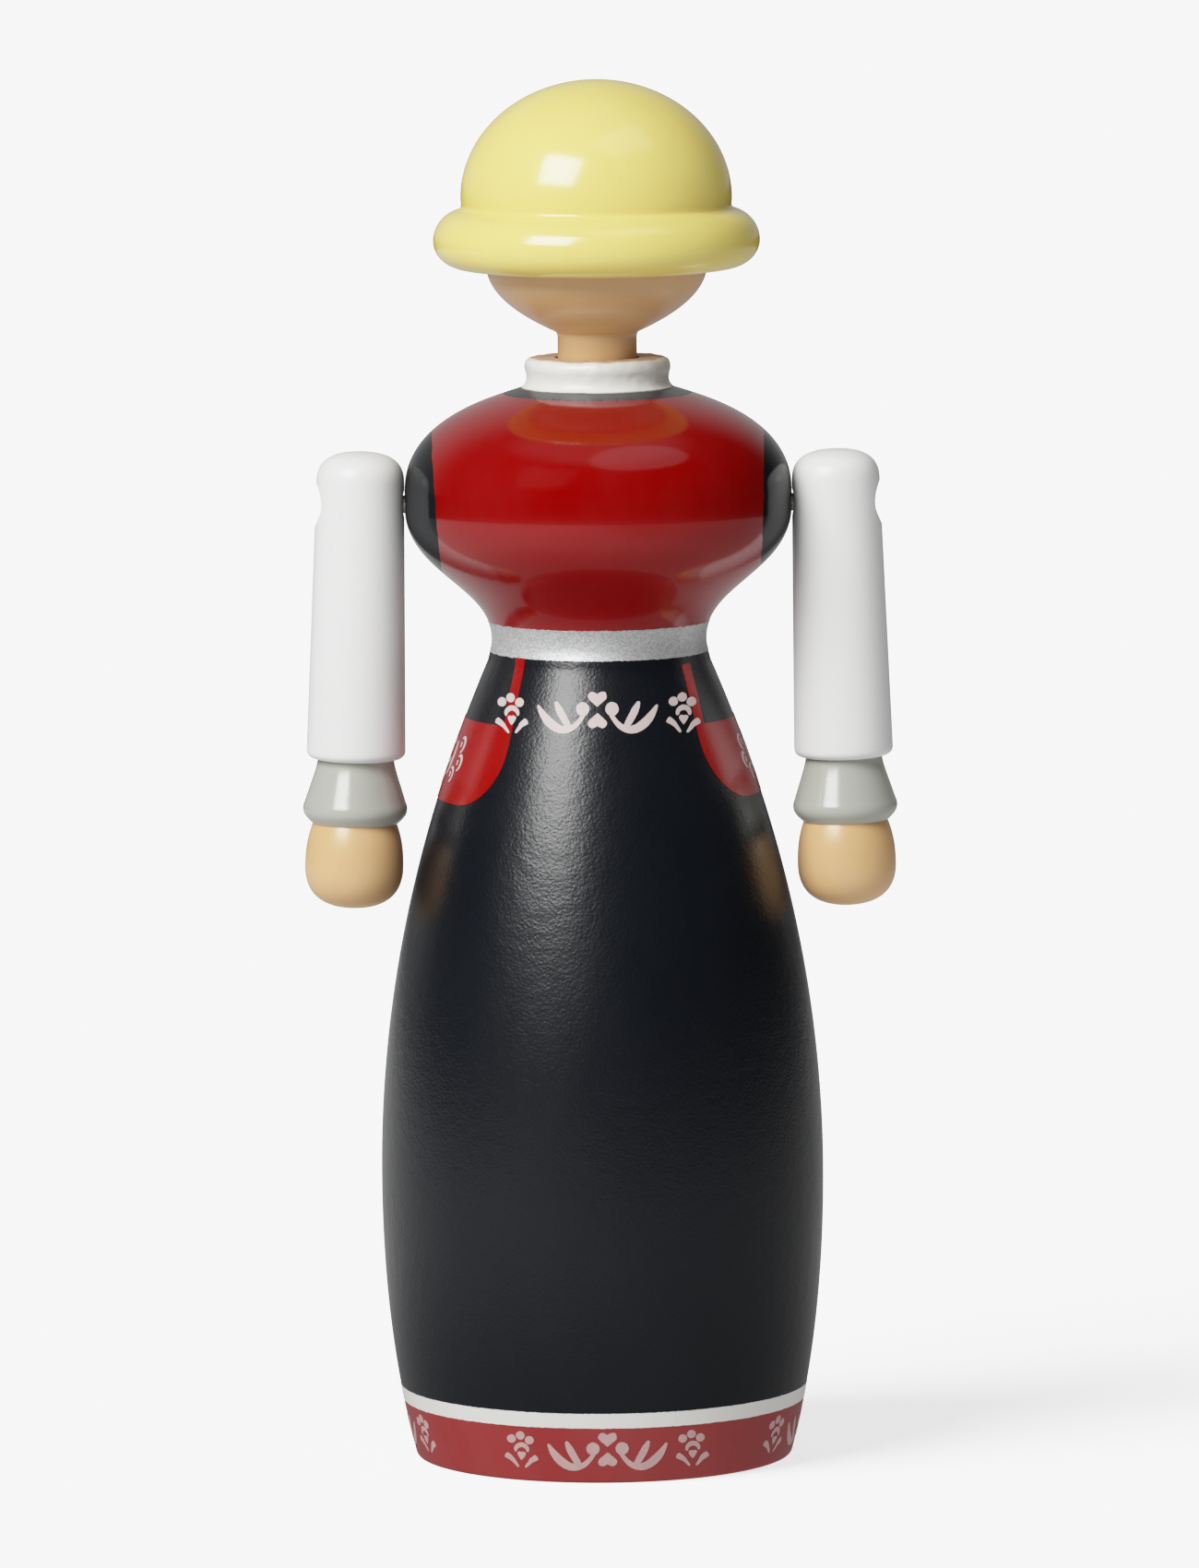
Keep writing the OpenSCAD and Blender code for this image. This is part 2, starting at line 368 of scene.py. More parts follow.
def paintFinish(name, colour, roughness, spread=0.08, drift=0.06, driftSize=12, peel=4, peelSize=0.6,
                grain=0, grainAcross=0.5, lathe=0, specks=0, speckSpacing=9.0,
                speckColour=(0.05, 0.04, 0.02), shine=0.5):
    finish, tree, shader = newFinish(name)
    tint = addEffect(tree, "drift", {"Colour": (*colour, 1), "Amount": drift, "Size": driftSize})
    base = tint.outputs["Colour"]
    if specks:
        dots = addEffect(tree, "specks", {"Spacing": speckSpacing, "Radius": specks})
        base = mixNode(tree, "RGBA", dots.outputs["Mask"], base, (*speckColour, 1))
    tree.links.new(base, shader.inputs["Base Color"])
    gloss = addEffect(tree, "handled", {"Roughness": roughness, "Spread": spread, "Size": 7.0})
    tree.links.new(gloss.outputs["Roughness"], shader.inputs["Roughness"])
    heights = [(addEffect(tree, "peel", {"Size": peelSize}).outputs["Height"], peel)]
    if grain:
        heights.append((addEffect(tree, "grain", {"Across": grainAcross}).outputs["Height"], grain))
    if lathe:
        heights.append((addEffect(tree, "lathe", {"Pitch": 0.6}).outputs["Height"], lathe))
    if specks:
        heights.append((dots.outputs["Mask"], -15))
    addRelief(tree, shader, heights)
    shader.inputs["Specular IOR Level"].default_value = shine
    return finish


def silverFinish():
    finish, tree, shader = newFinish("silverEnamel")
    flake = addEffect(tree, "flake", {"Size": 0.2})
    small = addEffect(tree, "flake", {"Size": 0.12})
    peel = addEffect(tree, "peel", {"Size": 0.9})
    dull, bright = (0.42, 0.425, 0.43, 1), (0.72, 0.725, 0.73, 1)
    tree.links.new(mixNode(tree, "RGBA", flake.outputs["Mask"], dull, bright), shader.inputs["Base Color"])
    gloss = mathNode(tree, "MULTIPLY_ADD", small.outputs["Mask"], 0.22, 0.42)
    tree.links.new(gloss, shader.inputs["Roughness"])
    shader.inputs["Metallic"].default_value = 0.68
    heights = [(flake.outputs["Mask"], 5), (small.outputs["Height"], 12), (peel.outputs["Height"], 10)]
    addRelief(tree, shader, heights)
    return finish


def beechFinish():
    finish, tree, shader = newFinish("bareBeech")
    figure = addEffect(tree, "beech", {"Ring Width": 2.4})
    lathe = addEffect(tree, "lathe", {"Pitch": 0.4})
    light, dark, fleck = (0.66, 0.44, 0.27, 1), (0.50, 0.30, 0.16, 1), (0.34, 0.19, 0.10, 1)
    wood = mixNode(tree, "RGBA", figure.outputs["Rings"], light, dark)
    amount = mathNode(tree, "MULTIPLY", figure.outputs["Flecks"], 0.55)
    tree.links.new(mixNode(tree, "RGBA", amount, wood, fleck), shader.inputs["Base Color"])
    shader.inputs["Roughness"].default_value = 0.62
    heights = [(figure.outputs["Flecks"], -12), (figure.outputs["Rings"], 8), (lathe.outputs["Height"], 14)]
    addRelief(tree, shader, heights)
    return finish


def elasticFinish():
    finish, tree, shader = newFinish("braidedElastic")
    weave = addEffect(tree, "flake", {"Size": 0.45})
    thread, shadow = (0.68, 0.65, 0.58, 1), (0.34, 0.31, 0.26, 1)
    colour = mixNode(tree, "RGBA", weave.outputs["Height"], thread, shadow)
    tree.links.new(colour, shader.inputs["Base Color"])
    shader.inputs["Roughness"].default_value = 0.85
    addRelief(tree, shader, [(weave.outputs["Height"], -90)])
    return finish


# Relief and grain are in microns, sizes and spacings in millimetres
finishes = {
    "skirt": paintFinish("skirtEnamel", (0.0026, 0.0034, 0.0052), 0.29, drift=0.25, peel=40, peelSize=0.45,
                         specks=0.09, speckSpacing=8.0, speckColour=(0.09, 0.095, 0.10), shine=0.32),
    "bodice": paintFinish("bodiceEnamel", (0.19, 0.0012, 0.001), 0.115, spread=0.03, drift=0.04, peel=1.8,
                          peelSize=1.3, grain=1.2, specks=0.10, speckSpacing=12.0,
                          speckColour=(0.5, 0.25, 0.22)),
    "black": paintFinish("blackEnamel", (0.005, 0.006, 0.007), 0.10, spread=0.05, drift=0.1, peel=2.2,
                         peelSize=1.2, shine=0.06),
    "neckline": paintFinish("necklineEnamel", (0.013, 0.014, 0.015), 0.30, spread=0.2, drift=0.7,
                            driftSize=2.5, peel=9, peelSize=0.5, grain=10),
    "hem": paintFinish("hemEnamel", (0.215, 0.012, 0.012), 0.36, drift=0.08, peel=7, peelSize=0.5,
                       specks=0.10, speckSpacing=7.0),
    "pocket": paintFinish("pocketEnamel", (0.225, 0.002, 0.0012), 0.26, peel=9, shine=0.4),
    "silver": silverFinish(),
    "trim": paintFinish("trimEnamel", (0.58, 0.57, 0.54), 0.40, drift=0.05, peel=9, peelSize=0.7),
    "print": paintFinish("ornamentPrint", (0.50, 0.40, 0.39), 0.50, drift=0.12, driftSize=1.4, peel=7,
                         peelSize=0.35, specks=0.09, speckSpacing=1.9, speckColour=(0.30, 0.20, 0.20)),
    "hemPrint": paintFinish("hemOrnamentPrint", (0.38, 0.22, 0.21), 0.50, drift=0.12, driftSize=1.4, peel=7,
                            peelSize=0.35, specks=0.09, speckSpacing=1.9, speckColour=(0.25, 0.09, 0.09)),
    "collar": paintFinish("collarEnamel", (0.74, 0.73, 0.69), 0.34, drift=0.05, driftSize=5, peel=16,
                          peelSize=1.0, grain=18, grainAcross=0.6),
    "skin": paintFinish("skinEnamel", (0.62, 0.36, 0.162), 0.30, drift=0.10, peel=5, peelSize=0.8, grain=7,
                        grainAcross=0.45, lathe=4, specks=0.09, speckSpacing=8.0,
                        speckColour=(0.30, 0.17, 0.09)),
    "hair": paintFinish("hairEnamel", (0.80, 0.63, 0.15), 0.17, spread=0.06, drift=0.05, peel=3.5,
                        peelSize=1.1, grain=11, grainAcross=0.55, specks=0.16, speckSpacing=11.0,
                        speckColour=(0.16, 0.13, 0.03)),
    "sleeve": paintFinish("sleeveEnamel", (0.77, 0.77, 0.76), 0.33, drift=0.03, peel=6, peelSize=0.8, grain=8,
                          grainAcross=0.6),
    "cuff": paintFinish("cuffEnamel", (0.34, 0.345, 0.302), 0.20, drift=0.05, peel=6, peelSize=0.8, grain=6,
                        specks=0.10, speckSpacing=5.0, speckColour=(0.28, 0.27, 0.22)),
    "beech": beechFinish(),
    "elastic": elasticFinish(),
}
print("finishes mixed:", len(finishes))


# The body is one long turning; its outline also carries every painted band
bodyPlan = {"hemRadius": 27.3, "hipRadius": 32.07, "hipHeight": 41.5, "waistRadius": 15.47,
            "waistHeight": 119.2, "chestRadius": 27.95, "chestHeight": 139.7, "shoulderRadius": 11.0,
            "shoulderHeight": 155.7, "steps": 192, "neckBore": 5.8, "neckBoreFloor": 148.0,
            "well": 4.0, "wellFloor": 134.5, "cordHole": 2.0, "pivotHeight": 138.9}


def bodyOutline(plan):
    hem, hip, waist, chest = plan["hemRadius"], plan["hipRadius"], plan["waistRadius"], plan["chestRadius"]
    hipZ, waistZ, chestZ = plan["hipHeight"], plan["waistHeight"], plan["chestHeight"]
    top, topZ = plan["shoulderRadius"], plan["shoulderHeight"]
    points = [(0, 0)]
    points += [((hem - 0.6) * i / 6, 0) for i in range(1, 7)]
    addCurve(points, (hem - 0.2, 0), (hem, 0.2), (hem + 0.1, 0.6), 5)
    addCurve(points, (hem + 2.78, 11), (hip, 24), (hip, hipZ), 24)
    addCurve(points, (hip, hipZ + 31), (waist + 8.5, waistZ - 21.4), (waist + 0.6, waistZ - 3), 44)
    addCurve(points, (waist + 0.3, waistZ - 1.6), (waist, waistZ - 0.9), (waist, waistZ), 8)
    addCurve(points, (waist, waistZ + 8.0), (chest, chestZ - 10.6), (chest, chestZ - 1.2), 40)
    points += [(chest, chestZ), (chest, chestZ + 1.2)]
    addCurve(points, (chest, chestZ + 11.8), (14.35, topZ - 1.25), (top, topZ), 40)
    return points + [(8, topZ), (0, topZ)]


bodyLine = bodyOutline(bodyPlan)


# Radius of the turning between the flat of its base and its top
def radiusAt(height):
    for low, high in zip(bodyLine[6:-2], bodyLine[7:-1]):
        if low[1] <= height <= high[1] and high[1] > low[1]:
            return low[0] + (high[0] - low[0]) * (height - low[1]) / (high[1] - low[1])
    return bodyPlan["hemRadius"]


def bandLine(low, high):
    inside = [p for p in bodyLine if low < p[1] < high and p[0] > 0]
    return [(radiusAt(low), low)] + inside + [(radiusAt(high), high)]


def cutHole(piece, radius, depth, place, turn=(0, 0, 0), inner=None):
    deselectAll()
    bpy.ops.mesh.primitive_cylinder_add(vertices=64, radius=radius * mm, depth=depth * mm,
                                        location=[p * mm for p in place], rotation=turn)
    cutter = bpy.context.object
    if inner:
        cutter.data.materials.append(finishes[inner])
    cut = piece.modifiers.new("cut", "BOOLEAN")
    cut.operation = "DIFFERENCE"
    cut.solver = "EXACT"
    cut.material_mode = "TRANSFER"
    cut.object = cutter
    applyModifiers(piece)
    bpy.data.objects.remove(cutter)


def makeBody(plan):
    body = turnPiece("turned_body", bodyLine, plan["steps"])
    body.data.materials.append(finishes["beech"])
    topZ = plan["shoulderHeight"]
    cutHole(body, plan["neckBore"], 2 * (topZ - plan["neckBoreFloor"]), (0, 0, topZ))
    cutHole(body, plan["well"], 2 * (topZ - plan["wellFloor"]), (0, 0, topZ))
    cutHole(body, plan["cordHole"], 80, (0, 0, plan["pivotHeight"]), (0, math.pi / 2, 0))
    finishPiece(body, "beech", "torso", ["body"])


makeBody(bodyPlan)
print("body turned")

# Paint coats lie on the turning as thin shells
coatPlan = {"beltLow": 117.55, "beltHigh": 122.0, "trimLow": 8.3, "trimHigh": 10.5,
            "necklineLow": 154.85, "bodiceSide": 23.2, "fineSteps": 720}


def paintCoat(name, low, high, finish, steps=192, thickness=0.05, cuts=(), wobble=0.0, wobbleSize=0.5):
    coat = turnPiece(name, bandLine(low, high), steps)
    faceOutward(coat)
    bpy.ops.object.mode_set(mode="EDIT")
    for point, normal in cuts:
        bpy.ops.mesh.select_all(action="SELECT")
        bpy.ops.mesh.bisect(plane_co=[p * mm for p in point], plane_no=normal, clear_outer=True)
    bpy.ops.mesh.select_mode(type="VERT")
    bpy.ops.mesh.select_all(action="DESELECT")
    bpy.ops.mesh.select_non_manifold()
    bpy.ops.object.mode_set(mode="OBJECT")
    rim = coat.vertex_groups.new(name="rim")
    rim.add([v.index for v in coat.data.vertices if v.select], 1, "REPLACE")
    if wobble:
        shake = addClouds(coat, name + "Wobble", wobbleSize, 2 * wobble, 0.5)
        shake.direction = "Z"
        shake.vertex_group = "rim"
    wall = coat.modifiers.new("paint", "SOLIDIFY")
    wall.thickness = thickness * mm
    wall.offset = 1
    applyModifiers(coat)
    return finishPiece(coat, finish, "torso")


def paintBody(plan):
    side = plan["bodiceSide"]
    leftEdge, rightEdge = (-side, 0, 139), (side + 0.4, 0, 139)
    leftOut, rightOut = (-1, 0, -0.068), (1, 0, -0.03)
    inward = [tuple(-n for n in leftOut), tuple(-n for n in rightOut)]
    paintCoat("skirt_coat", plan["trimHigh"] - 0.4, plan["beltLow"] + 0.4, "skirt")
    paintCoat("bodice_coat", plan["beltHigh"] - 0.4, plan["necklineLow"], "bodice",
              cuts=[(leftEdge, leftOut), (rightEdge, rightOut)])
    paintCoat("armhole_patch_right", 124, plan["necklineLow"] - 0.1, "black",
              cuts=[(leftEdge, inward[0])])
    paintCoat("armhole_patch_left", 124, plan["necklineLow"] - 0.1, "black",
              cuts=[(rightEdge, inward[1])])
    paintCoat("neckline_coat", plan["necklineLow"], 155.69, "neckline",
              steps=plan["fineSteps"], thickness=0.06, wobble=0.03)
    paintCoat("belt_coat", plan["beltLow"], plan["beltHigh"], "silver",
              steps=plan["fineSteps"], thickness=0.09, wobble=0.12, wobbleSize=0.45)
    paintCoat("hem_trim", plan["trimLow"], plan["trimHigh"], "trim",
              steps=plan["fineSteps"], thickness=0.08, wobble=0.08, wobbleSize=0.5)
    paintCoat("hem_coat", 0.05, plan["trimLow"] + 0.3, "hem")


paintBody(coatPlan)
print("paint coats laid")


# Prints: flat brush strokes, drawn once and pressed on the skirt from one side
def smoothLine(points, t):
    span = t * (len(points) - 1)
    i = min(int(span), len(points) - 2)
    u = span - i
    p = [Vector(points[max(0, min(len(points) - 1, k))]) for k in (i - 1, i, i + 1, i + 2)]
    return 0.5 * (2 * p[1] + (p[2] - p[0]) * u + (2 * p[0] - 5 * p[1] + 4 * p[2] - p[3]) * u ** 2
                  + (3 * p[1] - p[0] - 3 * p[2] + p[3]) * u ** 3)


# Flat stroke along a line in XZ, in millimetres, with round ends
def brushStroke(points, widths, length, cap):
    stroke = newGrid(length, 6)
    for v in stroke.data.vertices:
        t, side = v.co.x + 0.5, v.co.y * 2
        at = smoothLine(points, t)
        ahead = smoothLine(points, min(1, t + 0.01)) - smoothLine(points, max(0, t - 0.01))
        across = Vector((-ahead.y, ahead.x)).normalized()
        wide = smoothLine([(w, 0) for w in widths], t).x / 2
        end = min(t, 1 - t) / cap
        if end < 1:
            wide *= math.sqrt(max(0.0, 1 - (1 - end) ** 2))
        ragged = 0.03 * noise.noise(Vector((at.x * 3.1, at.y * 3.1, side)))
        spot = at + across * side * (wide + ragged * min(1, end))
        v.co = (spot.x, 0, spot.y)
    return stroke


def brushDot(x, z, radius):
    dot = newDisc(40, radius)
    for v in dot.data.vertices:
        v.co.x += x + 0.03 * noise.noise(Vector((v.co.x * 3, 1.7 + x, v.co.z * 3)))
        v.co.z += z + 0.03 * noise.noise(Vector((v.co.x * 3, 5.2 + x, v.co.z * 3)))
    return dot


def arcLine(x, z, radius, start, stop, count):
    angles = [math.radians(start + (stop - start) * i / (count - 1)) for i in range(count)]
    return [(x + radius * math.cos(a), z + radius * math.sin(a)) for a in angles]


# Filled shape, same on both sides, from the outline of its right half
def brushShape(x, z, half, up=1):
    outline = [(x + a, z + up * b) for a, b in half] + [(x - a, z + up * b) for a, b in reversed(half[1:-1])]
    outline.append(outline[0])
    shape = newDisc(64, 1)
    middle = sum(b for a, b in half) / len(half)
    for v in shape.data.vertices:
        if v.co.length < 0.5:
            v.co = (x, 0, z + up * middle)
            continue
        turn = (math.atan2(v.co.x, -v.co.z) / fullTurn) % 1
        spot = smoothLine(outline, turn)
        ragged = 0.06 * noise.noise(Vector((spot.x * 2.3, 3.1, spot.y * 2.3)))
        v.co = (spot.x + ragged, 0, spot.y + ragged)
    return shape


# Right halves of a heart and of a drop
heartHalf = [(0, 0.42), (0.4, 0.75), (0.8, 1.09), (1.12, 1.35), (1.3, 1.6), (1.36, 1.87), (1.26, 2.18),
             (1.0, 2.42), (0.68, 2.5), (0.33, 2.4), (0, 2.2)]
dropHalf = [(0, -1.66), (0.26, -1.36), (0.48, -1.02), (0.61, -0.7), (0.53, -0.47), (0.3, -0.38), (0, -0.44)]


# Three dots over a crescent, a drop and two leaves
def flowerStrokes(x, z):
    strokes = [brushDot(x + a, z + b, 0.63) for a, b in ((-1.46, 1.47), (-0.2, 2.05), (1.1, 1.41))]
    crescent = arcLine(x, z - 0.22, 0.87, -15, 195, 9)
    strokes.append(brushStroke(crescent, [0.35, 0.62, 0.74, 0.62, 0.35], 24, 0.1))
    strokes.append(brushShape(x, z, dropHalf))
    leaves = ([(-2.33, -0.93), (-1.56, -1.43), (-1.02, -1.97), (-0.41, -2.78)],
              [(2.26, -1.08), (1.49, -1.58), (1.03, -2.12), (0.5, -2.78)])
    for leaf in leaves:
        strokes.append(brushStroke([(x + a, z + b) for a, b in leaf], [0.95, 0.75, 0.5, 0.32], 24, 0.14))
    return strokes


# Long leaf that ends in a ball, with a short leaf inside it
def sprayStrokes(side):
    outer = [(8.55, 0.75), (7.75, -0.62), (6.75, -1.78), (5.6, -2.55), (4.5, -2.72), (3.4, -2.33),
             (2.5, -1.45), (1.85, -0.45)]
    outerWidths = [0.3, 0.98, 1.26, 1.18, 1.0, 0.82, 0.66, 0.6]
    inner = [(5.95, 1.2), (5.45, 0.1), (4.85, -1.05), (4.1, -2.35)]
    strokes = [brushStroke([(-side * x, z) for x, z in outer], outerWidths, 60, 0.04)]
    strokes.append(brushStroke([(-side * x, z) for x, z in inner], [0.4, 0.98, 1.04, 0.9], 28, 0.1))
    return strokes + [brushDot(-side * 2.09, 0.12, 0.95)]


def joinStrokes(name, strokes):
    for i, stroke in enumerate(strokes):
        for v in stroke.data.vertices:
            v.co.y = -0.006 * (i % 5)       # overlapping strokes stay a hair apart
    return joinPieces(strokes, name)


# Copy of the artwork on the body, pushed straight on when flat and wrapped round when not
def pressPrint(artwork, height, azimuth, lift, flat=True, droop=0.0):
    pick(artwork)
    bpy.ops.object.duplicate()
    printed = bpy.context.object
    turn = Matrix.Rotation(math.radians(azimuth), 3, "Z")
    for v in printed.data.vertices:
        z = height + v.co.z - droop * v.co.x ** 2
        radius = radiusAt(z) + lift - v.co.y
        angle = math.asin(v.co.x / radius) if flat else v.co.x / radius
        spot = turn @ Vector((radius * math.sin(angle), -radius * math.cos(angle), z))
        v.co = spot * mm
    return printed


# Gives the pressed artwork its thickness of ink
def solidPrint(name, prints, finish, thickness=0.035):
    piece = joinPieces(prints, name)
    closeMesh(piece, mm / 1000)
    faceOutward(piece)
    wall = piece.modifiers.new("ink", "SOLIDIFY")
    wall.thickness = thickness * mm
    wall.offset = 1
    applyModifiers(piece)
    return finishPiece(piece, finish, "torso")


printPlan = {"skirtHeight": 110.85, "hemHeight": 5.15, "lift": 0.052, "skirtAzimuth": -1.0,
             "skirtDroop": 0.0036, "skirtInk": 0.12, "flowerX": 12.3, "flowerZ": -0.3,
             "hemAzimuths": (0.9, 86, 178.5, -91.4)}


def printFlowers(plan):
    strokes = [brushShape(0, 0, heartHalf), brushShape(0, -0.03, heartHalf, -1)]
    for side in (-1, 1):
        strokes += sprayStrokes(side) + flowerStrokes(side * plan["flowerX"], plan["flowerZ"])
    artwork = joinStrokes("artwork", strokes)
    for name, turn in (("skirt_print_front", 0), ("skirt_print_back", 180)):
        azimuth = turn + plan["skirtAzimuth"]
        pressed = pressPrint(artwork, plan["skirtHeight"], azimuth, plan["lift"], droop=plan["skirtDroop"])
        printed = solidPrint(name, [pressed], "print", thickness=plan["skirtInk"])
        printed.visible_glossy = False      # keeps the bodice's mirror image plain
    hem = [pressPrint(artwork, plan["hemHeight"], azimuth, plan["lift"]) for azimuth in plan["hemAzimuths"]]
    solidPrint("hem_print", hem, "hemPrint")
    bpy.data.objects.remove(artwork)


printFlowers(printPlan)
print("flower prints pressed")

# Hip pockets hang from the belt on two strings each
pocketPlan = {"top": 108.1, "halfAngle": 50.3, "corner": 8.5, "lift": 0.05, "thickness": 0.08,
              "motifLift": 0.132, "sides": (
                  {"name": "right", "azimuth": -90, "bottom": 96.4, "stringTop": 117.6},
                  {"name": "left", "azimuth": 95.5, "bottom": 97.2, "stringTop": 116.5})}


def pocketSheet(plan, bottom):
    sheet = newGrid(72, 48)
    corner = plan["corner"]
    for v in sheet.data.vertices:
        z = bottom + (v.co.y + 0.5) * (plan["top"] - bottom)
        drop = max(0.0, bottom + corner - z)
        inset = corner - math.sqrt(max(0.0, corner ** 2 - drop ** 2))
        half = math.radians(plan["halfAngle"]) * radiusAt(z) - inset
        v.co = (v.co.x * 2 * half, 0, z)
    return sheet


# The strings lean in towards the belt
def stringStrip(plan, side, top):
    strip = newGrid(3, 24)
    for v in strip.data.vertices:
        z = plan["top"] - 0.4 + (v.co.y + 0.5) * (top - plan["top"] + 0.4)
        front = plan["halfAngle"] - 0.26 * (z - plan["top"])
        back = front - 4.9 - 0.2 * (z - plan["top"])
        angle = math.radians(back + (front - back) * (v.co.x + 0.5))
        v.co = (side * angle * radiusAt(z), -0.012, z)
    return strip


# Flower over a heart, with three curled petals and a leaf on either side
def pocketMotif():
    strokes = flowerStrokes(0, 103.2) + [brushShape(0, 97.9, heartHalf)]
    for side in (-1, 1):
        for x, z, r, wide in ((6.3, 104.5, 1.1, 0.55), (7.4, 102.0, 1.1, 0.55), (5.7, 100.2, 1.05, 0.5)):
            petal = [(side * px, pz) for px, pz in arcLine(x, z, r, 125, -75, 8)]
            seed = [(side * (x - 0.35), z + 0.45), (side * (x - 0.15), z - 0.35)]
            strokes.append(brushStroke(petal, [0.3, wide, wide, 0.3], 24, 0.12))
            strokes.append(brushStroke(seed, [0.5, 0.4], 12, 0.35))
        leaf = [(side * 3.1, 99.9), (side * 3.9, 101.6), (side * 4.1, 103.4), (side * 3.8, 105.0)]
        strokes.append(brushStroke(leaf, [0.35, 0.85, 0.8, 0.3], 28, 0.1))
    return joinStrokes("pocketArtwork", strokes)


def makePockets(plan):
    motif = pocketMotif()
    for pocket in plan["sides"]:
        shapes = [pocketSheet(plan, pocket["bottom"])]
        shapes += [stringStrip(plan, side, pocket["stringTop"]) for side in (-1, 1)]
        prints = []
        for shape in shapes:
            prints.append(pressPrint(shape, 0, pocket["azimuth"], plan["lift"], flat=False))
            bpy.data.objects.remove(shape)
        solidPrint("pocket_" + pocket["name"], prints, "pocket", plan["thickness"])
        motifPrint = pressPrint(motif, 0, pocket["azimuth"], plan["motifLift"], flat=False)
        solidPrint("pocket_print_" + pocket["name"], [motifPrint], "print")
    bpy.data.objects.remove(motif)


makePockets(pocketPlan)
print("pockets hung")

# Collar ring, thick paint on its outside and bare wood on top
collarPlan = {"height": 4.4, "footRadius": 10.9, "lipRadius": 10.6, "holeRadius": 6.15, "lumps": 0.3,
              "lumpSize": 2.2, "lumpLevel": 0.62}


def makeCollar(plan):
    low = bodyPlan["shoulderHeight"]
    top, lip, foot = low + plan["height"], plan["lipRadius"], plan["footRadius"]
    outline = [(plan["holeRadius"], top), (plan["holeRadius"], low), (foot - 2, low), (foot - 0.15, low)]
    addCurve(outline, (foot, low), (foot, low + 0.05), (foot, low + 0.2), 3)
    addCurve(outline, (lip - 0.4, low + 0.8), (lip - 0.4, top - 2.7), (lip - 0.1, top - 1.8), 12)
    addCurve(outline, (lip + 0.2, top - 0.9), (lip - 0.2, top), (lip - 1, top), 12)
    outline += [(8.6, top), (7.4, top), (plan["holeRadius"] + 0.1, top), (plan["holeRadius"], top)]
    collar = turnPiece("collar_ring", outline, 192)
    addClouds(collar, "collarLumps", plan["lumpSize"], plan["lumps"], plan["lumpLevel"])
    applyModifiers(collar)
    collar.data.materials.append(finishes["collar"])
    collar.data.materials.append(finishes["beech"])
    for face in collar.data.polygons:
        far = Vector((face.center.x, face.center.y)).length / mm
        ragged = 0.12 * noise.noise(face.center * 900)
        if far < 6.4 or (face.normal.z > 0.7 and far < 9.45 + ragged):
            face.material_index = 1
    finishPiece(collar, "collar", "torso", ["collar"])


makeCollar(collarPlan)

# Head and hair turn together on the neck's tenon
headPlan = {"neckRadius": 5.73, "tenonLow": 148.5, "chinHeight": 162.9, "faceRadius": 15.95,
            "hairLow": 173.0, "spigotRadius": 9.0, "spigotHeight": 11.6, "domeRadius": 19.6,
            "domeHeight": 17.0, "rollRadius": 4.6, "rollCentre": 19.0, "rollHeight": 177.0,
            "total": 200.2, "cordHole": 1.7, "recess": 4.0}


def makeHead(plan):
    neck, face, chin, low = plan["neckRadius"], plan["faceRadius"], plan["chinHeight"], plan["hairLow"]
    spigot, spigotTop = plan["spigotRadius"], plan["hairLow"] + plan["spigotHeight"]
    hole, recess, recessLow = plan["cordHole"], plan["recess"], spigotTop - 6
    tenon, start = plan["tenonLow"], plan["tenonLow"] + 0.4
    outline = [(hole, tenon), (neck - 0.4, tenon), (neck, start)]
    outline += [(neck, start + (chin - start) * i / 10) for i in range(1, 11)]
    addCurve(outline, (neck, chin + 0.6), (neck + 0.2, chin + 0.9), (neck + 0.6, chin + 1.05), 8)
    addCurve(outline, (face - 4.2, low - 6.55), (face - 0.35, low - 3.6), (face, low), 28)
    outline += [(12, low), (spigot, low), (spigot, spigotTop), (recess, spigotTop), (recess, recessLow),
                (hole, recessLow), (hole, tenon)]
    finishPiece(turnPiece("face_and_neck", outline, 128), "skin", "head", ["head"])


def makeHair(plan):
    low, dome, roll, socket = plan["hairLow"], plan["domeRadius"], plan["rollRadius"], plan["spigotRadius"]
    rollZ, domeZ = plan["rollHeight"], plan["total"] - plan["domeHeight"]
    socketTop = low + plan["spigotHeight"] + 0.5
    outline = [(0, socketTop), (socket, socketTop), (socket, low), (13, low), (16, low)]
    for i in range(31):
        a = math.radians(-90 + 162 * i / 30)
        tall = roll if a > 0 else rollZ - low
        outline.append((plan["rollCentre"] + roll * math.cos(a), rollZ + tall * math.sin(a)))
    addCurve(outline, (19.6, rollZ + 4.6), (dome - 0.2, rollZ + 4.85), (dome, domeZ - 0.3), 8)
    for i in range(37):
        a = math.radians(90 * i / 36)
        outline.append((dome * math.cos(a), domeZ + plan["domeHeight"] * math.sin(a)))
    outline[-1] = (0, plan["total"])
    finishPiece(turnPiece("hair_dome", outline, 192), "hair", "head", ["hair"])


makeHead(headPlan)
makeHair(headPlan)
print("head and hair turned")

# Arms: sleeve, cuff and hand, turned upright at the origin and then leaned out to their place
armPlan = {"centre": 34.45, "tilt": 1.4, "sleeveRadius": 6.45, "sleeveEnd": 7.17, "top": 7.7,
           "sleeveLength": 37.05, "cuffLength": 46.35, "armLength": 58.75, "cuffRadius": 7.6,
           "handRadius": 7.15, "dowel": 2.5, "pocketRadius": 3.25, "pocketDepth": 7.5}


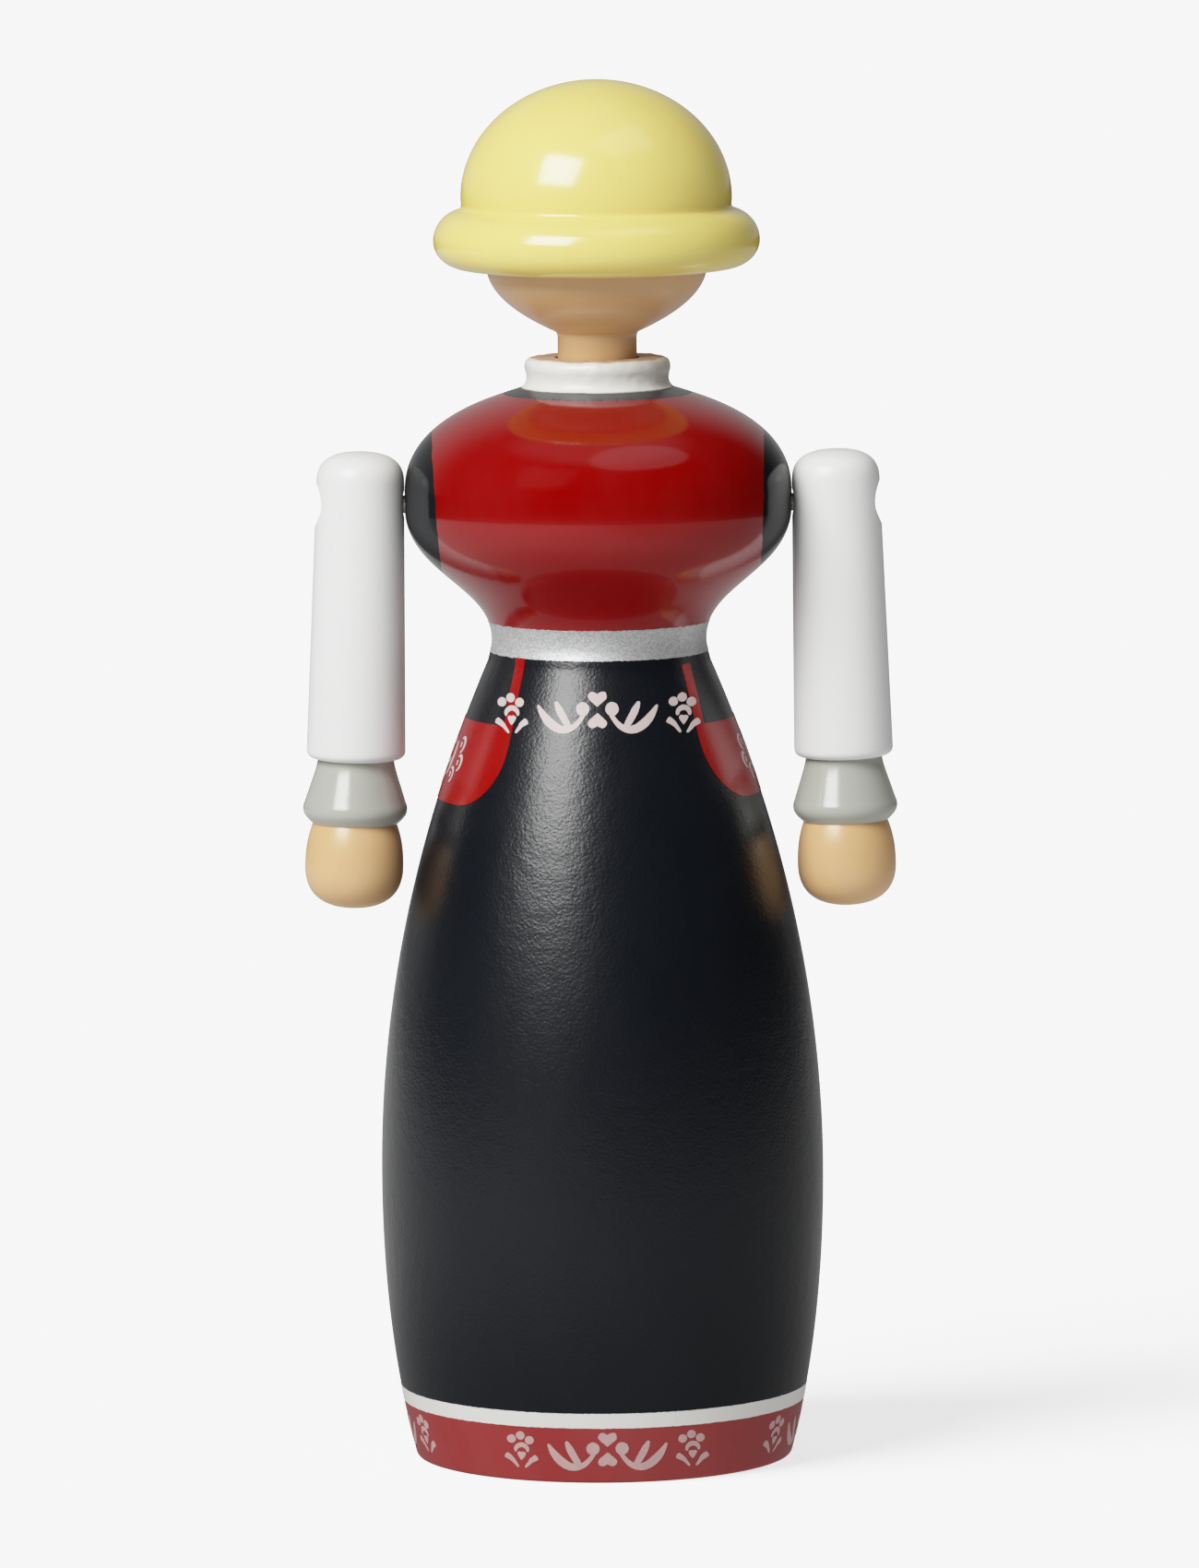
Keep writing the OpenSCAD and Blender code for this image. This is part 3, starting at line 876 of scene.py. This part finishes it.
def sleeveOutline(plan):
    r, end, top, long = plan["sleeveRadius"], plan["sleeveEnd"], plan["top"], plan["sleeveLength"]
    low = 1.3 - long
    outline = [(0, top)]
    addCurve(outline, (3.6, top), (r - 0.3, top - 0.9), (r - 0.1, top - 4), 20)
    x, z = outline[-1]
    outline += [(x + (end - x) * i / 44, z + (low - z) * i / 44) for i in range(1, 45)]
    addCurve(outline, (end, 0.5 - long), (end - 0.6, 0.15 - long), (end - 1.5, -long), 10)
    return outline + [(plan["dowel"], -long), (plan["dowel"], 9.5 - long), (0, 9.5 - long)]


def cuffOutline(plan):
    high, low, wide = -plan["sleeveLength"], -plan["cuffLength"], plan["cuffRadius"]
    outline = [(plan["dowel"], high), (4, high), (5.55, high)]
    addCurve(outline, (5.55, high - 1), (6.3, high - 2.9), (wide - 0.3, low + 3.2), 16)
    addCurve(outline, (wide + 0.25, low + 1.9), (wide, low + 1.2), (6.2, low), 14)
    return outline + [(4, low), (plan["dowel"], low), (plan["dowel"], high)]


def handOutline(plan):
    high, low, wide, dowel = -plan["cuffLength"], -plan["armLength"], plan["handRadius"], plan["dowel"]
    dowelTop = 9 - plan["sleeveLength"]
    outline = [(0, dowelTop), (dowel, dowelTop), (dowel, high), (4, high), (6.1, high)]
    addCurve(outline, (wide - 0.3, high - 2.1), (wide, low + 8.6), (wide, low + 6.1), 16)
    addCurve(outline, (wide, low + 1.9), (4.6, low), (0, low), 24)
    return outline


def hangArmPiece(piece, side):
    pick(piece)
    place = Matrix.Translation((armPlan["centre"] * mm, 0, bodyPlan["pivotHeight"] * mm))
    piece.data.transform(place @ Matrix.Rotation(-math.radians(armPlan["tilt"]), 4, "Y"))
    if side < 0:
        piece.data.transform(Matrix.Scale(-1, 4, (1, 0, 0)))
        closeMesh(piece)


def drillShoulder(sleeve, side, plan):
    pivot = bodyPlan["pivotHeight"]
    floorX = plan["centre"] + plan["sleeveRadius"] - plan["pocketDepth"]
    turn = (0, math.pi / 2, 0)
    cutHole(sleeve, plan["pocketRadius"], 20, (side * (floorX + 10), 0, pivot), turn, "beech")
    cutHole(sleeve, bodyPlan["cordHole"], 20, (side * (floorX - 5), 0, pivot), turn, "beech")


def makeArm(side, name, plan):
    body = "arm_" + name
    sleeve = turnPiece("sleeve_tube_" + name, sleeveOutline(plan), 160)
    sleeve.data.materials.append(finishes["sleeve"])
    hangArmPiece(sleeve, side)
    drillShoulder(sleeve, side, plan)
    finishPiece(sleeve, "sleeve", body, ["sleeve_" + name])
    for node, shape, outline, paint in (("cuff_", "cuff_ring_", cuffOutline(plan), "cuff"),
                                        ("hand_", "hand_knob_", handOutline(plan), "skin")):
        piece = turnPiece(shape + name, outline, 128)
        hangArmPiece(piece, side)
        finishPiece(piece, paint, body, [node + name])


makeArm(1, "left", armPlan)
makeArm(-1, "right", armPlan)
print("arms hung")

# Elastic cords, with overhand knots in the arm pockets and in the head
cordPlan = {"radius": 1.3, "knotRadius": 2.4, "neckRadius": 1.1, "loopRadius": 2.5, "strand": 0.86,
            "smoothAngle": 60}


def tubeThrough(name, points, radius, closed=False):
    deselectAll()
    line = bpy.data.curves.new(name, "CURVE")
    line.dimensions = "3D"
    spline = line.splines.new("NURBS")
    spline.points.add(len(points) - 1)
    for point, place in zip(spline.points, points):
        point.co = (*[p * mm for p in place], 1)
    spline.use_cyclic_u = closed
    spline.use_endpoint_u = not closed
    spline.order_u = 4
    spline.resolution_u = 6
    line.bevel_depth = radius * mm
    line.bevel_resolution = 5
    line.use_fill_caps = True
    tube = bpy.data.objects.new(name, line)
    bpy.context.scene.collection.objects.link(tube)
    pick(tube)
    bpy.ops.object.convert(target="MESH")
    return bpy.context.object


# Overhand knot, drawn as a closed trefoil
def knotPoints(centre, along, across, other, size):
    points = []
    for i in range(24):
        t = fullTurn * i / 24
        a = (math.sin(t) + 2 * math.sin(2 * t)) * size
        b = (math.cos(t) - 2 * math.cos(2 * t)) * size
        c = -math.sin(3 * t) * size * 1.3
        points.append(Vector(centre) + Vector(across) * a + Vector(other) * b + Vector(along) * c)
    return points


def makeCords(plan):
    pivot = bodyPlan["pivotHeight"]
    knotX = armPlan["centre"] + armPlan["sleeveRadius"] - armPlan["pocketDepth"] + plan["knotRadius"] - 0.2
    size = (plan["knotRadius"] - plan["strand"]) / 3
    reach = knotX + 0.6
    line = [(reach * i / 2, 0, pivot) for i in range(-2, 3)]
    parts = [tubeThrough("run", line, plan["radius"])]
    for side in (-1, 1):
        knot = knotPoints((side * knotX, 0, pivot), (side, 0, 0), (0, 1, 0), (0, 0, 1), size)
        parts.append(tubeThrough("knot", knot, plan["strand"], True))
        tail = [(side * (knotX + d), 0.35 * d, pivot + 0.25 * d) for d in (0, 1, 2, 3.4)]
        parts.append(tubeThrough("tail", tail, plan["strand"]))
    shoulder = joinPieces(parts, "shoulder_elastic")
    finishPiece(shoulder, "elastic", "torso", ["shoulder_cord"], plan["smoothAngle"])
    knotZ = headPlan["hairLow"] + headPlan["spigotHeight"] - 6 + plan["knotRadius"] - 0.2
    loop = plan["loopRadius"]
    loopTop = pivot + loop
    line = [(0, 0, loopTop + (knotZ - loopTop) * i / 4) for i in range(5)]
    knot = knotPoints((0, 0, knotZ), (0, 0, 1), (1, 0, 0), (0, 1, 0), size)
    turns = [fullTurn * i / 16 for i in range(16)]
    ring = [(0, loop * math.cos(turn), pivot + loop * math.sin(turn)) for turn in turns]
    parts = [tubeThrough("run", line, plan["neckRadius"]), tubeThrough("knot", knot, plan["strand"], True),
             tubeThrough("loop", ring, 1.0, True)]
    neck = joinPieces(parts, "neck_elastic")
    finishPiece(neck, "elastic", "torso", ["neck_cord"], plan["smoothAngle"])


makeCords(cordPlan)
print("cords knotted")


# Studio: pale floor, a key softbox, an overhead panel and a dim room that is pale at the back
floorPlan = {"size": 14, "drop": 0.00002, "roughness": 0.9, "colour": 0.8, "base": 1.75,
             "left": 1.08, "right": 0.5, "across": (-0.3, 0.25), "near": 0.45, "nearReach": (0.03, 0.2),
             "edge": (0.95, 1.1), "bounceNear": 1.9, "bounceFar": 1.0, "bounceReach": (0.08, 0.4)}
roomPlan = {"front": 0.025, "back": 0.58, "ceiling": 0.4, "backdrop": 3.7}
filmPlan = {"white": 6.0, "ceiling": 0.95, "speed": 0.93, "points": 20}

# Turned and raised in degrees as seen from the aim, with sizes in metres and power in watts
lightPlan = {
    "aim": (0, 0, 0.19),
    "key": {"azimuth": -36, "elevation": 34, "distance": 1.1, "width": 0.59, "height": 0.59, "power": 36},
    "panel": {"azimuth": 45, "elevation": 64, "distance": 1.2, "width": 0.87, "height": 0.55, "power": 3.5},
    "silk": {"azimuth": 45, "elevation": 64, "distance": 1.2, "width": 1.1, "height": 0.75, "power": 1.5},
    "wash": {"lean": 42, "turn": -55, "spread": 34, "power": 10.6},
}


def aimLight(name, target, plan):
    a, e = math.radians(plan["azimuth"]), math.radians(plan["elevation"])
    away = Vector((math.sin(a) * math.cos(e), -math.cos(a) * math.cos(e), math.sin(e)))
    bpy.ops.object.light_add(type="AREA", location=Vector(target) + away * plan["distance"])
    light = bpy.context.object
    light.name = name
    light.rotation_mode = "QUATERNION"
    light.rotation_quaternion = (-away).to_track_quat("-Z", "Y")
    light.data.shape = "RECTANGLE"
    light.data.size = plan["width"]
    light.data.size_y = plan["height"]
    light.data.energy = plan["power"]
    return light


# A light either leaves out the listed pieces or falls on them alone
def linkLight(light, pieces, state):
    takers = bpy.data.collections.new(light.name + "_pieces")
    for piece in pieces:
        takers.objects.link(piece)
    light.light_linking.receiver_collection = takers
    for member in takers.collection_objects:
        member.light_linking.link_state = state


def easeNode(tree, value, reach, low, high):
    node = tree.nodes.new("ShaderNodeMapRange")
    node.interpolation_type = "SMOOTHSTEP"
    labels = ("Value", "From Min", "From Max", "To Min", "To Max")
    feed(tree, [node.inputs[label] for label in labels], (value, *reach, low, high))
    return node.outputs[0]


def raySwitch(tree, ray, elsewhere, seen):
    path = tree.nodes.new("ShaderNodeLightPath")
    return mixNode(tree, "FLOAT", path.outputs[ray], elsewhere, seen)


# The floor looks plain, glows softly in reflections and bounces light up from round the doll
def buildFloor(plan):
    deselectAll()
    bpy.ops.mesh.primitive_plane_add(size=plan["size"], location=(0, 0, -plan["drop"]))
    floor = bpy.context.object
    floor.name = "studio_floor"
    paper, tree, shader = newFinish("floorPaper")
    shader.inputs["Roughness"].default_value = plan["roughness"]
    shader.inputs["Specular IOR Level"].default_value = 0
    shader.inputs["Emission Color"].default_value = (1, 1, 1, 1)
    tree.links.new(raySwitch(tree, "Is Camera Ray", 0.0, plan["colour"]), shader.inputs["Base Color"])
    place = objectPlace(tree)
    split = tree.nodes.new("ShaderNodeSeparateXYZ")
    tree.links.new(place, split.inputs[0])
    far = vectorNode(tree, "LENGTH", place)
    # Painted light and shade in the glow: brighter to the left, dimmer to the right, and a painted shade that
    # dims it close round the doll's foot
    across = easeNode(tree, split.outputs["X"], plan["across"], plan["left"], plan["right"])
    near = easeNode(tree, far, plan["nearReach"], plan["near"], 1)
    end = easeNode(tree, far, plan["edge"], 1, 0)
    glow = mathNode(tree, "MULTIPLY", mathNode(tree, "MULTIPLY", across, near), end)
    bounce = easeNode(tree, far, plan["bounceReach"], plan["bounceNear"], plan["bounceFar"])
    bounced = raySwitch(tree, "Is Diffuse Ray", glow, bounce)
    strength = raySwitch(tree, "Is Camera Ray", bounced, plan["base"])
    tree.links.new(strength, shader.inputs["Emission Strength"])
    paper.cycles.emission_sampling = "NONE"
    floor.data.materials.append(paper)
    return floor


# The bodice is so glossy that it takes softer lights of its own
def buildLights(plan, floor):
    glossy = [bpy.data.objects[name] for name in ("bodice_coat", "armhole_patch_right", "armhole_patch_left")]
    key = aimLight("key_softbox", plan["aim"], plan["key"])
    linkLight(key, glossy + [floor], "EXCLUDE")
    soft = aimLight("key_through_silk", plan["aim"], plan["key"])
    soft.visible_glossy = False
    linkLight(soft, glossy, "INCLUDE")
    panel = aimLight("overhead_panel", plan["aim"], plan["panel"])
    linkLight(panel, glossy + [floor], "EXCLUDE")
    silk = aimLight("overhead_silk", plan["aim"], plan["silk"])
    silk.data.shape = "ELLIPSE"
    linkLight(silk, glossy, "INCLUDE")
    washPlan = plan["wash"]
    turn = (math.radians(washPlan["lean"]), 0, math.radians(washPlan["turn"]))
    bpy.ops.object.light_add(type="SUN", rotation=turn)
    wash = bpy.context.object
    wash.name = "floor_wash"
    wash.data.energy = washPlan["power"]
    wash.data.angle = math.radians(washPlan["spread"])
    linkLight(wash, [floor], "INCLUDE")


def buildRoom(plan):
    world = bpy.data.worlds.new("room")
    bpy.context.scene.world = world
    world.use_nodes = True
    tree = world.node_tree
    place = tree.nodes.new("ShaderNodeTexCoord").outputs["Generated"]
    split = tree.nodes.new("ShaderNodeSeparateXYZ")
    tree.links.new(place, split.inputs[0])
    behind = mathNode(tree, "MULTIPLY_ADD", split.outputs["X"], -0.2, split.outputs["Y"])
    back = easeNode(tree, behind, (0.4, 0.95), plan["front"], plan["back"])
    ceiling = easeNode(tree, split.outputs["Z"], (0.8, 0.95), 0, plan["ceiling"])
    room = raySwitch(tree, "Is Camera Ray", mathNode(tree, "ADD", back, ceiling), plan["backdrop"])
    tree.links.new(room, tree.nodes["Background"].inputs["Color"])


# Highlights roll off gently, like film
def developFilm(plan):
    view = bpy.context.scene.view_settings
    view.view_transform = "Standard"
    view.use_curve_mapping = True
    mapping = view.curve_mapping
    mapping.white_level = (plan["white"],) * 3
    curve = mapping.curves[3]
    for i in range(1, plan["points"]):
        x = (i / plan["points"]) ** 2
        curve.points.new(x, plan["ceiling"] * (1 - math.exp(-plan["speed"] * plan["white"] * x)))
    curve.points[-1].location = (1, plan["ceiling"] * (1 - math.exp(-plan["speed"] * plan["white"])))
    mapping.update()


buildLights(lightPlan, buildFloor(floorPlan))
buildRoom(roomPlan)
developFilm(filmPlan)
print("studio lit")
